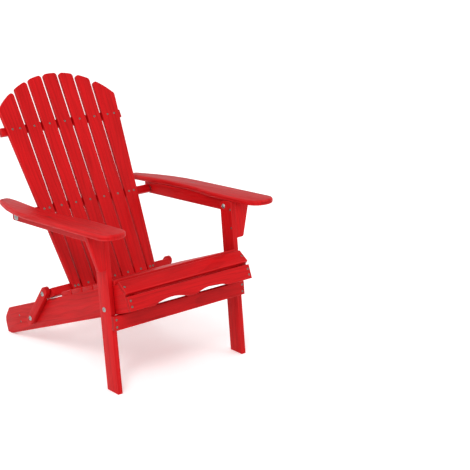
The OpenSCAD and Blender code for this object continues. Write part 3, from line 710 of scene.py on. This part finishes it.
def screw_mesh(bm, point, direction, turn):
    before = set(bm.verts)
    sides = 24
    recess = []
    for k in range(sides):
        a = 2 * math.pi * k / sides
        arm = abs(math.cos(2 * a)) > 0.83
        recess.append((2.3 if arm else 1.0, a))
    top = [bm.verts.new(spoke(r, a, HEAD_Z)) for r, a in recess]
    bottom = [bm.verts.new(spoke(0.72 * r, a, -2.0)) for r, a in recess]
    rim_in = ring(bm, SCREW_R - 0.25, HEAD_Z, sides)
    rim = ring(bm, SCREW_R, -0.7, sides)
    neck = ring(bm, SHANK_R, -SCREW_R, sides)
    tip = ring(bm, 1.9, -SCREW_LEN, sides)
    bridge(bm, bottom, top)
    bridge(bm, rim_in, top)
    bridge(bm, rim, rim_in)
    bridge(bm, neck, rim)
    bridge(bm, tip, neck)
    bm.faces.new(bottom)
    bm.faces.new(list(reversed(tip)))
    stand(bm, before, point, direction, turn)


def metal_group(name, build, material, body, slot, *nodes):
    bm = bmesh.new()
    build(bm)
    bmesh.ops.recalc_face_normals(bm, faces=bm.faces)
    obj = finish_mesh(bm, name, Matrix.Identity(4), [material])
    obj.data.set_sharp_from_angle(angle=math.radians(35))
    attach(obj, body)
    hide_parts(*nodes)
    return obj


def screw_group(name, points, body, *nodes):
    def build(bm):
        for p, n in points:
            screw_mesh(bm, p, n, rng.uniform(0, 1.5))
    metal_group(name, build, DULL, body, "screw_steel", *nodes)


seat_points = [p for i in slat_screws for p in slat_screws[i]]
seat_points += nose_screws + apron_screws + rear_screws[1] + rear_screws[-1]
leg_points = stretcher_screws + bracket_screws[1] + bracket_screws[-1]
back_points = [p for i in range(1, BACK_SLATS + 1) for p in back_screws(i)]
screw_group("seat_screw_set", seat_points, "seat_frame", "seat_screws")
screw_group("leg_screw_set", leg_points, "front_legs", "leg_screws")
screw_group("back_screw_set", back_points, "back", "back_screws")
for s in SIDES:
    screw_group(f"arm_screw_set_{HAND[s]}", arm_screws[s], f"arm_{HAND[s]}", f"arm_screws_{HAND[s]}")


# Bolts: a domed head with a hexagon socket, on a plain shank
def bolt_mesh(bm, point, direction, depth):
    before = set(bm.verts)
    sides = 48
    ball = (HEAD_R**2 + DOME_H**2) / (2 * DOME_H)
    hexagon = []
    for k in range(sides):
        a = 2 * math.pi * k / sides
        hexagon.append((2.6 * math.cos(math.pi / 6) / math.cos((a % (math.pi / 3)) - math.pi / 6), a))

    def shaped(scale, z):
        return [bm.verts.new(spoke(scale * r, a, z)) for r, a in hexagon]

    rings = [shaped(0.96, 1.4), shaped(1.0, 3.9), shaped(1.09, 4.15)]
    for r in (4.4, 5.6, 6.8, 7.8, 8.5, 8.9):
        rings.append(ring(bm, r, DOME_H - ball + math.sqrt(ball**2 - r * r), sides))
    rings.append(ring(bm, HEAD_R, 0.0, sides))
    rings.append(ring(bm, BOLT_R + 0.01, 0.0, sides))
    rings.append(ring(bm, BOLT_R, -0.01, sides))
    rings.append(ring(bm, BOLT_R, -depth + 0.6, sides))
    rings.append(ring(bm, BOLT_R - 0.6, -depth, sides))
    for a, b in zip(rings, rings[1:]):
        bridge(bm, a, b)
    bm.faces.new(rings[0])
    bm.faces.new(list(reversed(rings[-1])))
    stand(bm, before, point, direction)


def bolt_group(name, point, x, way, depth, body, *nodes):
    def build(bm):
        for s in SIDES:
            bolt_mesh(bm, at_x(point, s * x), X * (s * way), depth)
    metal_group(name, build, ZINC, body, "bolt_zinc", *nodes)


nut_end = REST + NUT_H + 2
link_head = LEG_OUT + REST
arm_head = ARM_RAIL_OUT + REST + WASHER_T
bolt_group("leg_bolt_set", leg_bolt, LEG_OUT, 1, LEG_OUT - RAIL_IN + nut_end, "front_legs", "leg_bolts")
bolt_group("arm_bolt_set", arm_bolt, LEG_IN, -1, ARM_RAIL_OUT - LEG_IN + nut_end, "front_legs", "arm_bolts")
bolt_group("link_bolt_set", link_bolt, link_head, 1, LEG_OUT - RAIL_IN + nut_end, "seat_frame", "link_bolts")
bolt_group("back_link_bolt_set", back_bolt, link_head, 1, link_head - RAIL_OUT + BOLT_DEPTH,
           "back", "back_link_bolts")
bolt_group("back_arm_bolt_set", mid_bolt, arm_head, 1, arm_head - LEG_OUT + BOLT_DEPTH,
           "back", "back_arm_bolts")
for name in ("leg_bolt_nuts", "arm_bolt_nuts", "link_bolt_nuts", "back_bolt_washers"):
    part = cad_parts[name]
    for k in range(max(1, len(part.material_slots))):
        if part.material_slots:
            part.material_slots[k].material = ZINC
        else:
            part.data.materials.append(ZINC)


# Floor, light and camera
def floor_material():
    mat, tree, shader = nodes_of("pale_floor")
    shader.inputs["Base Color"].default_value = (0.96, 0.96, 0.96, 1)
    shader.inputs["Roughness"].default_value = 0.85
    shader.inputs["Specular IOR Level"].default_value = 0.1
    shader.inputs["Emission Color"].default_value = (1, 1, 1, 1)
    shader.inputs["Emission Strength"].default_value = 0.22
    return mat


bpy.ops.mesh.primitive_plane_add(size=60, location=(0, 0, 0))
floor = bpy.context.object
floor.name = "floor"
floor.data.materials.append(floor_material())

world = bpy.data.worlds.new("studio")
bpy.context.scene.world = world
world.use_nodes = True
world.node_tree.nodes["Background"].inputs["Color"].default_value = (1, 1, 1, 1)
world.node_tree.nodes["Background"].inputs["Strength"].default_value = 1.02


def area_light(name, place, target, size, power):
    data = bpy.data.lights.new(name, "AREA")
    data.shape = "DISK"
    data.size = size
    data.energy = power
    obj = bpy.data.objects.new(name, data)
    bpy.context.collection.objects.link(obj)
    obj.location = place
    obj.rotation_euler = (Vector(target) - Vector(place)).to_track_quat("-Z", "Y").to_euler()
    return obj


area_light("key", (-3.2, -2.6, 4.2), (0, 0, 0.4), 1.8, 110)
area_light("fill", (3.4, -4.0, 2.2), (0, 0, 0.4), 3.0, 25)

AZIMUTH, ELEVATION = -40.39, 17.21
SENSOR, FOCAL_PER_WIDTH = 36, 1262.92 / 470
back_dir = Vector((sin(AZIMUTH) * cos(ELEVATION), -cos(AZIMUTH) * cos(ELEVATION), sin(ELEVATION)))
camera_data = bpy.data.cameras.new("camera")
camera_data.sensor_width = SENSOR
camera_data.lens = SENSOR * FOCAL_PER_WIDTH
camera = bpy.data.objects.new("camera", camera_data)
bpy.context.collection.objects.link(camera)
camera.location = Vector((-2.4783, -3.1819, 1.7484)) + centre * MM
camera.rotation_euler = (-back_dir).to_track_quat("-Z", "Y").to_euler()
bpy.context.scene.camera = camera
bpy.context.scene.view_settings.view_transform = "Standard"
